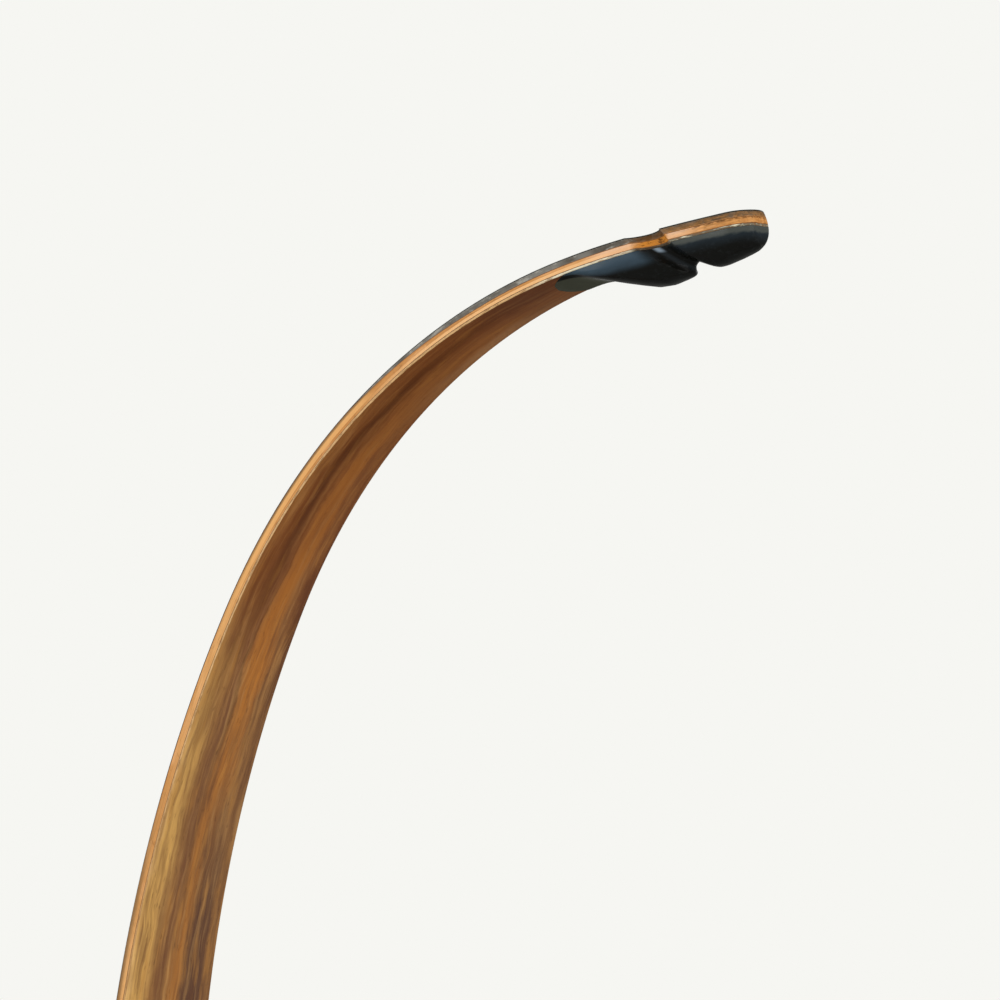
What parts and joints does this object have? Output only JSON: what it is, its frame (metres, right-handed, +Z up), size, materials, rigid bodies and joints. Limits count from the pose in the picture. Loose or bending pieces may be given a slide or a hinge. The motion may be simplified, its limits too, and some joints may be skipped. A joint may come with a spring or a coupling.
{
  "type": "takedown recurve bow",
  "caption": "Takedown recurve bow, unstrung: laminated wood-and-glass limbs with carved black string nocks, bolted to a contoured laminated wood riser.",
  "frame": {"origin": "throat of the grip on the riser's belly side, on the bow's centre plane", "axes": "+Z up along the bow to the upper limb, +X towards the target, +Y to the archer's left"},
  "size_m": [0.3404, 0.046, 1.2042],
  "materials": {
    "clear_glass": "clear fibreglass under gloss lacquer, cream at its edges",
    "back_veneer": "dark streaked walnut veneer",
    "limb_core": "orange-tan core wood, edge grain, lacquered",
    "grey_wedge": "mottled grey tip wedge, lacquered edge",
    "butt_wedge": "dark hardwood wedge, lacquered edge",
    "pale_veneer": "pale maple veneer",
    "dark_glass": "green-black fibreglass, gloss lacquer",
    "tip_overlay": "black phenolic with a grey-blue sheen, satin",
    "black_steel": "black oxide steel, worn bright on its edges",
    "riser_core": "dark hardwood, satin lacquer",
    "riser_stripe": "pale maple stripe, satin lacquer",
    "riser_side": "streaked reddish hardwood, satin lacquer",
    "brass": "turned brass, lightly tarnished",
    "steel_pin": "ground steel dowel",
    "shelf_hide": "short-haired black rest pad",
    "strike_leather": "brown leather plate"
  },
  "bodies": {
    "riser": {"centre_block": "riser_core", "right_stripe": "riser_stripe", "right_block": "riser_side", "upper_left_stripe": "riser_stripe", "upper_left_block": "riser_side", "lower_left_stripe": "riser_stripe", "lower_left_block": "riser_side", "upper_limb_insert": "brass", "lower_limb_insert": "brass", "upper_align_pins": "steel_pin", "lower_align_pins": "steel_pin", "stabilizer_bushing": "brass", "plunger_bushing": "brass", "sight_bushings": "brass", "arrow_shelf_pad": "shelf_hide", "strike_plate": "strike_leather"},
    "upper_limb": {"upper_belly_glass": "dark_glass", "upper_belly_veneer": "pale_veneer", "upper_tip_wedge": "grey_wedge", "upper_belly_core": "limb_core", "upper_butt_wedge": "butt_wedge", "upper_back_core": "limb_core", "upper_back_veneer": "back_veneer", "upper_back_glass": "clear_glass", "upper_tip_overlay": "tip_overlay", "upper_bolt_washer": "black_steel"},
    "upper_bolt": {"upper_limb_bolt": "black_steel"},
    "lower_limb": {"lower_belly_glass": "dark_glass", "lower_belly_veneer": "pale_veneer", "lower_tip_wedge": "grey_wedge", "lower_belly_core": "limb_core", "lower_butt_wedge": "butt_wedge", "lower_back_core": "limb_core", "lower_back_veneer": "back_veneer", "lower_back_glass": "clear_glass", "lower_tip_overlay": "tip_overlay", "lower_bolt_washer": "black_steel"},
    "lower_bolt": {"lower_limb_bolt": "black_steel"}
  },
  "joints": [
    {"name": "upper_limb_lift", "type": "slide", "parent": "riser", "child": "upper_limb", "axis": [0.9962, 0, -0.0872], "range_m": [0, 0.015]},
    {"name": "upper_bolt_turn", "type": "hinge", "parent": "upper_limb", "child": "upper_bolt", "pos_m": [0.02184, 0, 0.24414], "axis": [0.9962, 0, -0.0872], "range_deg": [0, 4320]},
    {"name": "lower_limb_lift", "type": "slide", "parent": "riser", "child": "lower_limb", "axis": [0.9962, 0, 0.0872], "range_m": [0, 0.015]},
    {"name": "lower_bolt_turn", "type": "hinge", "parent": "lower_limb", "child": "lower_bolt", "pos_m": [0.02184, 0, -0.24414], "axis": [0.9962, 0, 0.0872], "range_deg": [0, 4320]}
  ],
  "couplings": [
    {"joint": "upper_bolt_turn", "follows": "upper_limb_lift", "rad_per_m": 5026.5},
    {"joint": "lower_bolt_turn", "follows": "lower_limb_lift", "rad_per_m": 5026.5}
  ]
}
